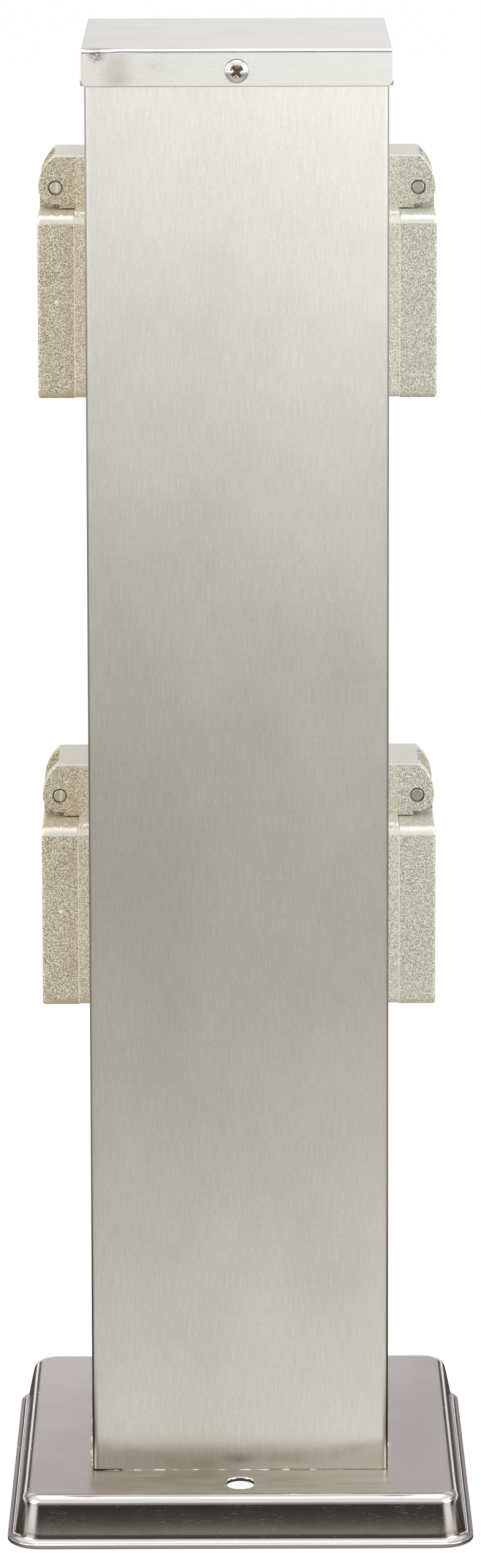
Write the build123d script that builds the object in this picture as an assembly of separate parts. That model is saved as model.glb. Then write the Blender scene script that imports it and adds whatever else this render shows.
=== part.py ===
from build123d import *
import math
import os

# Garden socket post: a square stainless column welded to a pressed base plate, closed by a
# folded cap, with four panel sockets under sprung lids, two on each side face.
# Millimetres. Origin at the centre of the base's underside, +Z up, the front is -Y.

# Whole post
post_height = 400.0
cut_over = 1.0  # how far every cut runs past what it cuts
wire_radius = 1.3
wire_entry = 3.0  # how far a wire end reaches into its clamp
wire_play = 0.05

# Base plate, one pressing
base_size = 125.0
base_height = 13.0
base_sheet = 1.2
base_lip = 1.6
base_slope = 2.4  # how far the skirt leans in, each side
base_corner = 9.0
base_roll = 2.0
base_crease = 1.0
fixing_spacing = 95.4
fixing_width = 7.4
fixing_length = 9.6

# Column, folded sheet
column_size = 80.0
column_sheet = 1.0
column_bend = 1.5
column_setback = 2.5  # the column stands this far behind the middle of the base
weld_leg = 2.5
weld_length = 24.0

# Cap, folded sheet
cap_sheet = 0.8
cap_skirt = 10.0
cap_clearance = 0.2
cap_headroom = 0.3
cap_bend = 0.9
cap_flap_corner = 2.0
cap_seam = 0.3
cap_relief = 1.6

# Cap screws and the nuts welded behind them
cap_screw_drop = 5.8
cap_screw_radius = 1.95
cap_screw_reach = 9.0
cap_head_radius = 3.2
cap_head_height = 2.3
cap_head_round = 1.7
cap_recess_length = 3.9
cap_recess_width = 0.8
cap_recess_depth = 1.3
cap_recess_turn = 37.0
nut_width = 7.0
nut_height = 3.2

# Sockets: places on the post
socket_drop = 70.1  # from the cap's top down to the upper sockets' centres
socket_spacing = 166.3

# Socket frame: flange, cup and hinge ears
gasket_thickness = 0.35
gasket_inset = 0.6
flange_width = 50.0
flange_height = 50.0
flange_thickness = 2.8
flange_corner = 2.0
recess_margin = 5.25  # from the recess to the flange's nearest edge
recess_depth = 17.5
mouth_depth = 5.0  # the recess's mouth is a little wider, to this depth
mouth_lead = 0.5
cup_wall = 1.55
cutout_clearance = 0.4
pin_rise = 4.9  # hinge pin above the flange's top edge
pin_reach = 8.5  # hinge pin out from the column's face
pin_radius = 1.7
pin_end_inset = 0.15
pin_end_round = 0.5
ear_radius = 4.6
ear_round = 0.4
ear_step = 1.1
ear_drop = 5.5
hood_width = 25.0
hood_rise = 8.65
hood_radius = 11.0
hood_roof = 3.75
hood_back = 1.6
hood_opening = 16.0
pin_eye_radius = 2.0
pin_eye_depth = 1.2

# Flange screws
screw_inset = 6.0  # from the flange's edges
screw_radius = 1.95
screw_head_radius = 3.4
screw_head_depth = 1.6
screw_reach = 9.0
screw_recess_length = 3.6
screw_recess_width = 0.7
screw_recess_depth = 1.1

# Contact carrier, contacts and earth clip
carrier_depth = 12.0
carrier_floor = 3.0
contact_spacing = 19.0
contact_hole_radius = 2.75
contact_radius = 4.0
contact_bore = 2.45
contact_play = 0.15
contact_slit = 0.8
clamp_width = 8.0
clamp_depth = 5.0
clamp_hole_radius = 1.45
earth_width = 6.0
earth_sheet = 0.8
earth_leg_inset = 1.85  # from the recess wall
earth_bulge = 1.7
earth_tip_rise = 0.9
earth_tip_inset = 1.0  # below the recess's mouth
earth_tip_length = 2.2
earth_slot_play = 0.3

# Lid, its seal and its spring
lid_gap = 0.25
lid_overhang = 0.2  # how far the lid hangs below the flange
lid_thickness = 9.65
lid_wall = 1.5
lid_face = 2.0
lid_top_gap = 0.3
lid_corner = 2.0
lid_edge = 0.8
lid_rib_wall = 1.6
seal_thickness = 1.9
seal_width = 1.8
seal_margin = 0.25  # from the recess's mouth to the seal
knuckle_radius = 4.3
knuckle_play = 0.3
knuckle_inward = 2.5
knuckle_bore = 1.9
spring_width = 5.4
spring_play = 0.3
spring_radius = 2.9
spring_wire = 0.7

# Cable grommet
grommet_bore = 5.0
grommet_neck = 10.0
grommet_rim = 12.5
grommet_rim_height = 2.6

# Bracket over the cable inlet, and its rivets
bracket_length = 44.0
bracket_width = 20.0
bracket_height = 30.0
bracket_sheet = 1.2
bracket_foot = 8.0
rivet_radius = 1.6
rivet_head_radius = 3.0
rivet_head_height = 1.0

# Terminal block
block_length = 30.0
block_width = 15.0
block_height = 13.0
pole_spacing = 9.5
pole_axis_height = 5.0
clamp_tube_radius = 3.5
clamp_tube_bore = 2.8
clamp_tube_inset = 0.5
clamp_screw_spacing = 7.0
clamp_screw_radius = 1.2
clamp_screw_head = 1.7
clamp_screw_inset = 1.5
block_screw_radius = 1.2
block_screw_head = 2.4
block_screw_head_height = 1.8
block_screw_reach = 4.0

# Earth stud on the base
stud_x = 24.0
stud_y = -20.0
stud_radius = 2.4
stud_height = 16.0
stud_nut_width = 8.0
stud_nut_height = 4.0
lug_radius = 4.8
lug_thickness = 1.0
lug_barrel_length = 9.0
lug_barrel_radius = 2.2

# Wire routes
wire_out = 12.5  # how far a feed wire runs out of the block before it rises
wire_rise_share = 0.27  # of the height from the block to the lower sockets' clamps
wire_under_share = 0.31
wire_arc_share = 0.45  # how much of the shorter run an arc takes

# Worked out once
column_centre = column_setback
column_face = column_size / 2
column_top = post_height - cap_sheet - cap_headroom
column_inside = column_face - column_sheet
cap_size = column_size + 2 * (cap_clearance + cap_sheet)
skirt_bottom = base_size - 2 * base_lip
socket_high = post_height - socket_drop
socket_low = socket_high - socket_spacing
recess_radius = min(flange_width, flange_height) / 2 - recess_margin
earth_leg_height = recess_radius - earth_leg_inset
flange_face = gasket_thickness + flange_thickness
recess_floor = flange_face - recess_depth
mouth_radius = recess_radius + mouth_lead
mouth_floor = flange_face - mouth_depth
cup_radius = recess_radius + cup_wall
cutout_radius = cup_radius + cutout_clearance
pin_height = flange_height / 2 + pin_rise
lid_back = flange_face + lid_gap
lid_top = pin_height - ear_drop - lid_top_gap
lid_front = lid_back + lid_thickness
lid_bottom = -flange_height / 2 - lid_overhang
lid_height = lid_top - lid_bottom
lid_width = flange_width
lid_rib_radius = mouth_radius + seal_margin + seal_width
carrier_back = recess_floor - carrier_depth
clamp_centre = carrier_back - clamp_depth / 2
pole_places = (-pole_spacing, 0, pole_spacing)
block_floor = base_height + bracket_height
pole_height = block_floor + pole_axis_height
clamp_x = column_face + clamp_centre
wire_lift = wire_radius + wire_play
feed_height = pole_height + wire_lift

Y_TURN = Rot(-90, 0, 0)
X_TURN = Rot(0, 90, 0)


def block(x, y, z):
    """A box between three (low, high) ranges."""
    corner = (Align.MIN, Align.MIN, Align.MIN)
    return Pos(x[0], y[0], z[0]) * Box(x[1] - x[0], y[1] - y[0], z[1] - z[0], align=corner)


def rod(radius, low, high):
    """A cylinder on the Z axis."""
    return Pos(0, 0, low) * Cylinder(radius, high - low, align=(Align.CENTER, Align.CENTER, Align.MIN))


def rod_x(radius, low, high, y=0, z=0):
    return Pos(0, y, z) * X_TURN * rod(radius, low, high)


def rod_y(radius, low, high, x=0, z=0):
    return Pos(x, 0, z) * Y_TURN * rod(radius, low, high)


def cone_x(radius_low, radius_high, low, high, y, z):
    """A cone on a line along X, its radii at the low and the high end."""
    shape = Cone(radius_low, radius_high, high - low, align=(Align.CENTER, Align.CENTER, Align.MIN))
    return Pos(low, y, z) * X_TURN * shape


def both(half):
    return (-half, half)


def hexagon(width, low, high):
    return Pos(0, 0, low) * extrude(RegularPolygon(width / 2, 6, major_radius=False), high - low)


def cross_cut(length, width, depth, top):
    """A cross recess sunk into a head whose top is at that height."""
    arm = block(both(length / 2), both(width / 2), (top - depth, top + cut_over))
    return arm + Rot(0, 0, 90) * arm


def screw_places():
    """The flange screws, one in each corner."""
    across = flange_width / 2 - screw_inset
    up = flange_height / 2 - screw_inset
    return [(y, z) for y in both(across) for z in both(up)]


def base_plate():
    """Flat top, rolled edge, leaning skirt and a flat lip, drawn from one sheet."""
    skirt_height = base_height - base_sheet
    lean = math.degrees(math.atan2(base_slope, skirt_height))
    corner = base_corner - base_lip
    outer = extrude(RectangleRounded(skirt_bottom, skirt_bottom, corner), base_height, taper=lean)
    wall = base_sheet / math.cos(math.radians(lean))
    inner_size = skirt_bottom - 2 * wall
    inner = extrude(RectangleRounded(inner_size, inner_size, corner - wall), skirt_height, taper=lean)
    outer = fillet(outer.faces().sort_by(Axis.Z)[-1].edges(), base_roll)
    inner = fillet(inner.faces().sort_by(Axis.Z)[-1].edges(), base_roll - base_sheet)
    lip = extrude(RectangleRounded(base_size, base_size, base_corner), base_sheet)
    foot = skirt_bottom + 2 * base_crease
    crease = extrude(RectangleRounded(foot, foot, corner + base_crease), base_crease, taper=45)
    shell = outer + lip + Pos(0, 0, base_sheet) * crease
    shell -= inner + rod(grommet_neck, skirt_height - cut_over, base_height + cut_over)
    slot = SlotOverall(fixing_length, fixing_width, rotation=90)
    for y in both(fixing_spacing / 2):
        shell -= Pos(0, y, skirt_height - cut_over) * extrude(slot, base_sheet + 2 * cut_over)
    for y in rivet_places():
        shell -= Pos(0, y, 0) * rod(rivet_radius, skirt_height - cut_over, base_height + cut_over)
    return shell


def rivet_places():
    reach = bracket_length / 2 + bracket_foot / 2
    return [column_centre + y for y in both(reach)]


def socket_sites():
    """Name, side and height of each socket: side is 1 on the right face and -1 on the left."""
    levels = (("lower", socket_low), ("upper", socket_high))
    sides = (("left", -1), ("right", 1))
    return [(f"{level}_{side}", sign, height) for level, height in levels for side, sign in sides]


def on_post(shape, sign, height):
    """Moves a socket piece from its own frame, x out of the column's face, to its site."""
    turn = Rot(0, 0, 0 if sign > 0 else 180)
    return Pos(0, column_centre, height) * turn * Pos(column_face, 0, 0) * shape


def column():
    tube = RectangleRounded(column_size, column_size, column_bend)
    bore_corner = column_bend - column_sheet
    tube -= RectangleRounded(2 * column_inside, 2 * column_inside, bore_corner)
    shape = Pos(0, column_centre, base_height) * extrude(tube, column_top - base_height)
    through = (-column_sheet - cut_over, cut_over)
    cutter = rod_x(cutout_radius, *through)
    for y, z in screw_places():
        cutter += rod_x(screw_radius, *through, y, z)
    for _, sign, height in socket_sites():
        shape -= on_post(cutter, sign, height)
    reach = column_face + cut_over
    bore = rod_y(cap_screw_radius, -reach, reach, 0, post_height - cap_screw_drop)
    return shape - Pos(0, column_centre, 0) * bore


def foot_welds():
    """Short fillet beads inside the column's foot, one on each wall."""
    section = Polygon((0, 0), (-weld_leg, 0), (0, weld_leg), align=None)
    bead = Pos(column_inside, 0, base_height) * extrude(Plane.XZ * section, weld_length / 2, both=True)
    return [Pos(0, column_centre, 0) * Rot(0, 0, 90 * side) * bead for side in range(4)]


def cap():
    half = cap_size / 2
    low = post_height - cap_skirt
    shape = block(both(half), both(half), (low, post_height))
    shape = fillet(shape.faces().sort_by(Axis.Z)[-1].edges(), cap_bend)
    inside = half - cap_sheet
    shape -= block(both(inside), both(inside), (low - cut_over, post_height - cap_sheet))
    seam_top = post_height - cap_relief
    past = half + cut_over
    seam = block((inside - cut_over, past), (inside - cap_seam, inside), (low - cut_over, seam_top))
    notch = block((inside, past), (inside, past), (seam_top - cap_relief / 2, seam_top))
    nip = Rectangle(cap_flap_corner, cap_flap_corner, align=(Align.MIN, Align.MIN))
    nip -= Pos(cap_flap_corner, cap_flap_corner) * Circle(cap_flap_corner)
    nip = extrude(Plane.YZ * nip, half + 2 * cut_over)
    for turn in (0, 180):
        shape -= Rot(0, 0, turn) * (seam + notch)
        shape -= Rot(0, 0, turn) * mirror(seam + notch, Plane.XZ)
        for side in both(half):
            lug = Pos(0, side, low) * (nip if side < 0 else mirror(nip, Plane.XZ))
            shape -= Rot(0, 0, turn) * (lug & block((inside, half), both(half), (low, post_height)))
            front = Rot(0, 0, 90) * lug
            shape -= Rot(0, 0, turn) * (front & block(both(half), (inside, half), (low, post_height)))
    bore = rod_y(cap_screw_radius, -half - cut_over, half + cut_over, 0, post_height - cap_screw_drop)
    return Pos(0, column_centre, 0) * (shape - bore)


def cap_screw_site(shape, sign):
    """Moves a shape on +Z, its seat at zero, to the skirt's front (sign -1) or back face."""
    face = Pos(0, column_centre + sign * cap_size / 2, post_height - cap_screw_drop)
    return face * Rot(-90 * sign, 0, 0) * shape


def cap_screws():
    head = rod(cap_head_radius, 0, cap_head_height)
    head = fillet(head.edges().sort_by(Axis.Z)[-1], cap_head_round)
    screw = head + rod(cap_screw_radius, -cap_screw_reach, 0)
    screw -= Rot(0, 0, cap_recess_turn) * cross_cut(
        cap_recess_length, cap_recess_width, cap_recess_depth, cap_head_height
    )
    return [cap_screw_site(screw, sign) for sign in (-1, 1)]


def cap_nuts():
    inner = -(cap_size / 2 - column_inside)
    nut = hexagon(nut_width, inner - nut_height, inner)
    nut -= rod(cap_screw_radius, inner - nut_height - cut_over, inner + cut_over)
    return [cap_screw_site(nut, sign) for sign in (-1, 1)]


def frame():
    """Flange, cup and hinge ears, one moulding."""
    flange = Plane.YZ.offset(gasket_thickness) * RectangleRounded(flange_width, flange_height, flange_corner)
    shape = extrude(flange, flange_thickness)
    shape += rod_x(cup_radius, recess_floor, gasket_thickness + cut_over)
    shape += hinge_ears()
    shape -= rod_x(recess_radius, recess_floor - cut_over, flange_face + cut_over)
    shape -= rod_x(mouth_radius, mouth_floor, flange_face + cut_over)
    for y, z in screw_places():
        shape -= rod_x(screw_radius, 0, flange_face + cut_over, y, z)
        shape -= cone_x(
            screw_radius, screw_head_radius, flange_face - screw_head_depth, flange_face, y, z
        )
    return shape


def hood_edge():
    """Where the hood's flat roof ends and its round nose begins."""
    nose_centre = pin_reach + ear_radius - hood_radius
    return nose_centre + math.sqrt(hood_radius ** 2 - hood_rise ** 2), nose_centre


def hinge_ears():
    edge, nose_centre = hood_edge()
    roof = pin_height + hood_rise
    floor = pin_height - ear_drop
    tip = (pin_reach + ear_radius, pin_height)
    turn = math.atan2(hood_rise, edge - nose_centre) / 2
    nose = (
        nose_centre + hood_radius * math.cos(turn),
        pin_height + hood_radius * math.sin(turn),
    )
    chin = math.radians(45)
    under = (
        pin_reach + ear_radius * math.cos(chin),
        pin_height - ear_radius * math.sin(chin),
    )
    step = pin_reach - ear_step
    below = pin_height - ear_radius
    outline = [
        Line((gasket_thickness, roof), (edge, roof)),
        ThreePointArc((edge, roof), nose, tip),
        ThreePointArc(tip, under, (pin_reach, below)),
        Line((pin_reach, below), (step, below)),
        Line((step, below), (step, floor)),
        Line((step, floor), (gasket_thickness, floor)),
        Line((gasket_thickness, floor), (gasket_thickness, roof)),
    ]
    side = Plane.XZ * make_face(outline)
    shape = extrude(side, hood_width / 2, both=True)
    rims = [e for e in shape.edges() if abs(abs(e.center().Y) - hood_width / 2) < ear_round / 2]
    rims = [e for e in rims if e.center().X > flange_face and e.center().Z > below - ear_round]
    shape = fillet(rims, ear_round)
    reach = pin_reach + hood_radius
    gap = both(hood_opening / 2)
    shape -= block((gasket_thickness + hood_back, reach), gap, (flange_height / 2, roof - hood_roof))
    shape -= block((edge, reach), gap, (flange_height / 2, roof + cut_over))
    shape -= block((flange_face, reach), gap, (floor - cut_over, flange_height / 2 + cut_over))
    half = hood_width / 2
    shape -= rod_y(pin_radius, -half - cut_over, half + cut_over, pin_reach, pin_height)
    for sign in (-1, 1):
        ends = sorted((sign * (half - pin_eye_depth), sign * (half + cut_over)))
        shape -= rod_y(pin_eye_radius, *ends, pin_reach, pin_height)
    return shape


def gasket():
    width = flange_width - 2 * gasket_inset
    height = flange_height - 2 * gasket_inset
    sheet = extrude(Plane.YZ * RectangleRounded(width, height, flange_corner), gasket_thickness)
    sheet -= rod_x(cutout_radius, -cut_over, gasket_thickness + cut_over)
    for y, z in screw_places():
        sheet -= rod_x(screw_radius, -cut_over, gasket_thickness + cut_over, y, z)
    return sheet


def flange_screws():
    screws = []
    for y, z in screw_places():
        seat = flange_face - screw_head_depth
        screw = rod_x(screw_radius, flange_face - screw_reach, seat, y, z)
        screw += cone_x(screw_radius, screw_head_radius, seat, flange_face, y, z)
        recess = cross_cut(screw_recess_length, screw_recess_width, screw_recess_depth, flange_face)
        screws.append(screw - Pos(0, y, z) * X_TURN * recess)
    return screws


def contact_places():
    return both(contact_spacing / 2)


def insert():
    """Contact carrier behind the cup: pin holes in front, pockets for the contacts behind."""
    shape = rod_x(cup_radius, carrier_back, recess_floor)
    pocket = contact_radius + contact_play
    for y in contact_places():
        shape -= rod_x(contact_hole_radius, carrier_back, recess_floor + cut_over, y)
        shape -= rod_x(pocket, carrier_back - cut_over, recess_floor - carrier_floor, y)
    width = both(earth_width / 2 + earth_slot_play)
    low = earth_leg_height - earth_sheet - earth_slot_play
    for z in ((low, earth_leg_height + earth_slot_play), (-earth_leg_height - earth_slot_play, -low)):
        shape -= block((carrier_back - cut_over, recess_floor + cut_over), width, z)
    return shape


def contacts():
    """Two split brass sleeves, each with a wire clamp behind the carrier."""
    pieces = []
    front = recess_floor - carrier_floor - contact_play
    half = clamp_width / 2
    for y in contact_places():
        sleeve = rod_x(contact_radius, carrier_back, front, y)
        clamp = block((carrier_back - clamp_depth, carrier_back), (y - half, y + half), both(half))
        sleeve += clamp
        sleeve -= rod_x(contact_bore, carrier_back + contact_slit, front + cut_over, y)
        slit = both(contact_slit / 2)
        sleeve -= block((carrier_back + contact_radius, front + cut_over), (y - half, y + half), slit)
        sleeve -= Pos(clamp_centre, y, 0) * rod(clamp_hole_radius, -half - cut_over, half + cut_over)
        pieces.append(sleeve)
    return pieces


def earth_clip():
    """A U of spring strip through the carrier, its two tips bowed into the recess."""
    back = carrier_back - earth_sheet / 2
    leg = earth_leg_height - earth_sheet / 2
    tip = mouth_floor - earth_tip_inset
    line = [
        (back, 0),
        (back, leg),
        (recess_floor, leg),
        (tip - earth_tip_length, leg - earth_bulge),
        (tip, leg - earth_bulge + earth_tip_rise),
    ]
    strip = Plane.XZ * trace(Polyline(*line), earth_sheet)
    arm = extrude(strip, earth_width / 2, both=True)
    low = carrier_back - clamp_depth
    half = both(earth_width / 2)
    clamp = block((low, carrier_back), half, both(clamp_width / 2))
    shape = arm + mirror(arm, Plane.XY) + clamp
    reach = clamp_width / 2 + cut_over
    return shape - Pos(clamp_centre, 0, 0) * rod(clamp_hole_radius, -reach, reach)


def hinge_pin():
    half = hood_width / 2 - pin_end_inset
    shape = fillet(rod(pin_radius, -half, half).edges().filter_by(GeomType.CIRCLE), pin_end_round)
    return Pos(pin_reach, 0, pin_height) * Y_TURN * shape


def lid():
    """Hollow lid with a round rib for its seal and two knuckles on the pin."""
    middle = Pos(0, (lid_top + lid_bottom) / 2)
    outline = Plane.YZ.offset(lid_back) * middle * RectangleRounded(lid_width, lid_height, lid_corner)
    shape = extrude(outline, lid_thickness)
    shape = fillet(shape.faces().sort_by(Axis.X)[-1].edges(), lid_edge)
    shape += knuckles()
    deep = lid_front - lid_face
    inside = (lid_width - 2 * lid_wall, lid_height - 2 * lid_wall)
    hollow = Plane.YZ.offset(lid_back - cut_over) * middle * RectangleRounded(*inside, lid_corner - lid_wall)
    shape -= extrude(hollow, deep - lid_back + cut_over)
    rib = rod_x(lid_rib_radius, lid_back + seal_thickness, deep + lid_face / 2)
    rib -= rod_x(lid_rib_radius - lid_rib_wall, lid_back, deep)
    return shape + rib


def knuckles():
    half = hood_opening / 2 - knuckle_play
    low = lid_top - lid_wall / 2
    shape = rod_y(knuckle_radius, -half, half, pin_reach, pin_height)
    neck_x = (pin_reach - knuckle_inward, pin_reach + knuckle_radius)
    shape += block(neck_x, both(half), (low, pin_height))
    opening = spring_width / 2 + spring_play
    reach = knuckle_radius + cut_over
    side = (pin_reach - reach, pin_reach + reach)
    shape -= block(side, both(opening), (lid_top, pin_height + reach))
    return shape - rod_y(knuckle_bore, -half - cut_over, half + cut_over, pin_reach, pin_height)


def lid_seal():
    end = lid_back + seal_thickness
    return rod_x(lid_rib_radius, lid_back, end) - rod_x(
        lid_rib_radius - seal_width, lid_back - cut_over, end + cut_over
    )


def hinge_spring():
    """Torsion spring round the pin: the coil as a sleeve, one leg on the frame, one on the lid."""
    half = spring_width / 2
    shape = rod_y(spring_radius, -half, half, pin_reach, pin_height)
    shape -= rod_y(spring_radius - spring_wire, -half - cut_over, half + cut_over, pin_reach, pin_height)
    wire = spring_wire / 2
    line = spring_radius - wire
    back = gasket_thickness + hood_back
    shape += rod_x(wire, back, pin_reach, half - wire, pin_height + line)
    return shape + Pos(pin_reach + line, wire - half, 0) * rod(wire, lid_top, pin_height)


def cable_grommet():
    """Rubber ring in the base plate, its groove on the sheet's edge."""
    low = base_height - base_sheet - grommet_rim_height
    high = base_height + grommet_rim_height
    shape = rod(grommet_rim, low, high)
    ring = rod(grommet_rim + cut_over, base_height - base_sheet, base_height)
    shape -= ring - rod(grommet_neck, low, high)
    return shape - rod(grommet_bore, low - cut_over, high + cut_over)


def bracket_site(shape):
    return Pos(0, column_centre, 0) * shape


def terminal_bracket():
    """Bridge of bent sheet over the cable inlet, riveted to the base."""
    half = bracket_length / 2
    across = both(bracket_width / 2)
    top = base_height + bracket_height
    shape = block(across, both(half), (base_height, top))
    inner = half - bracket_sheet
    room = (base_height - cut_over, top - bracket_sheet)
    shape -= block(both(bracket_width / 2 + cut_over), both(inner), room)
    foot = half + bracket_foot
    shape += block(across, (-foot, -inner), (base_height, base_height + bracket_sheet))
    shape += block(across, (inner, foot), (base_height, base_height + bracket_sheet))
    shape = bracket_site(shape)
    for y in rivet_places():
        shape -= Pos(0, y, 0) * rod(rivet_radius, base_height, base_height + bracket_sheet + cut_over)
    for y in block_screw_places():
        shape -= Pos(0, y, 0) * rod(block_screw_radius, top - bracket_sheet - cut_over, top + cut_over)
    return shape


def bracket_rivets():
    low = base_height - base_sheet
    high = base_height + bracket_sheet
    rivet = rod(rivet_radius, low, high)
    rivet += rod(rivet_head_radius, high, high + rivet_head_height)
    rivet += rod(rivet_head_radius, low - rivet_head_height, low)
    return [Pos(0, y, 0) * rivet for y in rivet_places()]


def block_screw_places():
    return [column_centre + y for y in both(pole_spacing / 2)]


def terminal_block():
    """Three-pole block: a clamp tube in each pole, screw wells above, two fixing holes."""
    half = block_width / 2
    top = block_floor + block_height
    shape = block(both(half), both(block_length / 2), (block_floor, top))
    reach = half + cut_over
    for y in pole_places:
        shape -= rod_x(clamp_tube_radius, -reach, reach, y, pole_height)
        for x in both(clamp_screw_spacing / 2):
            shape -= Pos(x, y, 0) * rod(clamp_screw_head, pole_height, top + cut_over)
    shape = bracket_site(shape)
    for y in block_screw_places():
        shape -= Pos(0, y, 0) * rod(block_screw_radius, block_floor - cut_over, top + cut_over)
    return shape


def terminal_clamps():
    half = block_width / 2 - clamp_tube_inset
    pieces = []
    for y in pole_places:
        tube = rod_x(clamp_tube_radius, -half, half, y, pole_height)
        tube -= rod_x(clamp_tube_bore, -half - cut_over, half + cut_over, y, pole_height)
        for x in both(clamp_screw_spacing / 2):
            tube -= Pos(x, y, 0) * rod(clamp_screw_radius, pole_height, pole_height + 2 * clamp_tube_radius)
        pieces.append(bracket_site(tube))
    return pieces


def terminal_screws():
    top = block_floor + block_height - clamp_screw_inset
    shoulder = pole_height + clamp_tube_radius
    pieces = []
    for y in pole_places:
        for x in both(clamp_screw_spacing / 2):
            screw = rod(clamp_screw_radius, feed_height + wire_lift, shoulder)
            screw += rod(clamp_screw_head, shoulder, top)
            depth = (top - clamp_screw_radius, top + cut_over)
            slot = block(both(clamp_screw_head), both(clamp_screw_radius / 3), depth)
            pieces.append(bracket_site(Pos(x, y, 0) * (screw - slot)))
    return pieces


def block_screws():
    top = block_floor + block_height
    screw = rod(block_screw_radius, block_floor - block_screw_reach, top)
    screw += rod(block_screw_head, top, top + block_screw_head_height)
    return [Pos(0, y, 0) * screw for y in block_screw_places()]


def stud_site(shape):
    return Pos(stud_x, stud_y, base_height) * shape


def earth_stud():
    return stud_site(rod(stud_radius, 0, stud_height))


def earth_nuts():
    """One nut under the lug and one above it."""
    pieces = []
    for low in (0, stud_nut_height + lug_thickness):
        nut = hexagon(stud_nut_width, low, low + stud_nut_height)
        pieces.append(stud_site(nut - rod(stud_radius, low - cut_over, low + stud_nut_height + cut_over)))
    return pieces


def earth_lug():
    """Ring tongue with a crimp barrel that points to the back."""
    low = stud_nut_height
    high = low + lug_thickness
    ring = rod(lug_radius, low, high)
    barrel_end = lug_radius + lug_barrel_length
    ring += block(both(lug_barrel_radius), (0, lug_radius + lug_thickness), (low, high))
    axis = low + lug_barrel_radius
    ring += rod_y(lug_barrel_radius, lug_radius, barrel_end, 0, axis)
    ring -= rod(stud_radius, low - cut_over, high + cut_over)
    return stud_site(ring - rod_y(wire_radius, lug_radius + lug_thickness, barrel_end + cut_over, 0, axis))


def wire_along(points):
    """A round wire along straight runs, each arc as large as its two runs allow."""
    corners = [Vector(*point) for point in points]
    runs = [after - before for before, after in zip(corners, corners[1:])]
    bends = []
    for before, after in zip(runs, runs[1:]):
        half_turn = math.radians(before.get_angle(after)) / 2
        bends.append(wire_arc_share * min(before.length, after.length) / math.tan(half_turn))
    path = FilletPolyline(*points, radius=bends)
    section = Plane(origin=path @ 0, z_dir=path % 0) * Circle(wire_radius)
    return sweep(section, path)


def socket_wires(y):
    """The four wires of one pole: two feeds to the lower sockets and two links up to the upper."""
    wires = []
    clamp_end = clamp_width / 2 - wire_entry
    clamp_low = socket_low - clamp_width / 2
    climb = clamp_low - feed_height
    for sign in (-1, 1):
        out = sign * (block_width / 2 + wire_out)
        inner = sign * clamp_x
        points = [
            (sign * (block_width / 2 - wire_entry), y, feed_height),
            (out, y, feed_height),
            (out, y, feed_height + wire_rise_share * climb),
            (inner, y, clamp_low - wire_under_share * climb),
            (inner, y, socket_low - clamp_end),
        ]
        wires.append(wire_along(points))
        link = rod(wire_radius, socket_low + clamp_end, socket_high - clamp_end)
        wires.append(Pos(inner, y, 0) * link)
    return wires


def bond_wire():
    """From the block's earth pole down to the lug on the stud."""
    low = base_height + stud_nut_height + lug_barrel_radius
    high = pole_height - wire_lift
    end = stud_y + lug_radius + lug_barrel_length - wire_entry
    points = [
        (block_width / 2 - wire_entry, column_centre, high),
        (stud_x, column_centre, high),
        (stud_x, column_centre, low),
        (stud_x, end, low),
    ]
    return wire_along(points)


PIECES = {
    "frame": frame,
    "gasket": gasket,
    "insert": insert,
    "contacts": contacts,
    "earth_clip": earth_clip,
    "lid": lid,
    "lid_seal": lid_seal,
    "hinge_pin": hinge_pin,
    "hinge_spring": hinge_spring,
    "flange_screws": flange_screws,
}


def save(name, shape):
    """One file per node: a single solid, or several alike in one group."""
    solids = shape if isinstance(shape, list) else [shape]
    solids = [s for piece in solids for s in piece.solids()]
    whole = solids[0] if len(solids) == 1 else Compound(children=solids)
    export_step(whole, f"parts/{name}.step")


os.makedirs("parts", exist_ok=True)

for piece_name, make in PIECES.items():
    made = make()
    made = made if isinstance(made, list) else [made]
    for site, sign, height in socket_sites():
        save(f"{site}_{piece_name}", [on_post(shape, sign, height) for shape in made])

save("base_plate", base_plate())
save("column", column())
save("foot_welds", foot_welds())
save("cap", cap())
save("cap_screws", cap_screws())
save("cap_nuts", cap_nuts())
save("cable_grommet", cable_grommet())
save("terminal_bracket", terminal_bracket())
save("bracket_rivets", bracket_rivets())
save("terminal_block", terminal_block())
save("terminal_clamps", terminal_clamps())
save("terminal_screws", terminal_screws())
save("block_screws", block_screws())
save("earth_stud", earth_stud())
save("earth_nuts", earth_nuts())
save("earth_lug", earth_lug())
save("live_wires", socket_wires(column_centre + pole_spacing))
save("neutral_wires", socket_wires(column_centre - pole_spacing))
save("earth_wires", socket_wires(column_centre) + [bond_wire()])
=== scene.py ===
import math
import bpy
import numpy as np
from mathutils import Matrix, Vector
from mathutils.geometry import tessellate_polygon


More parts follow.
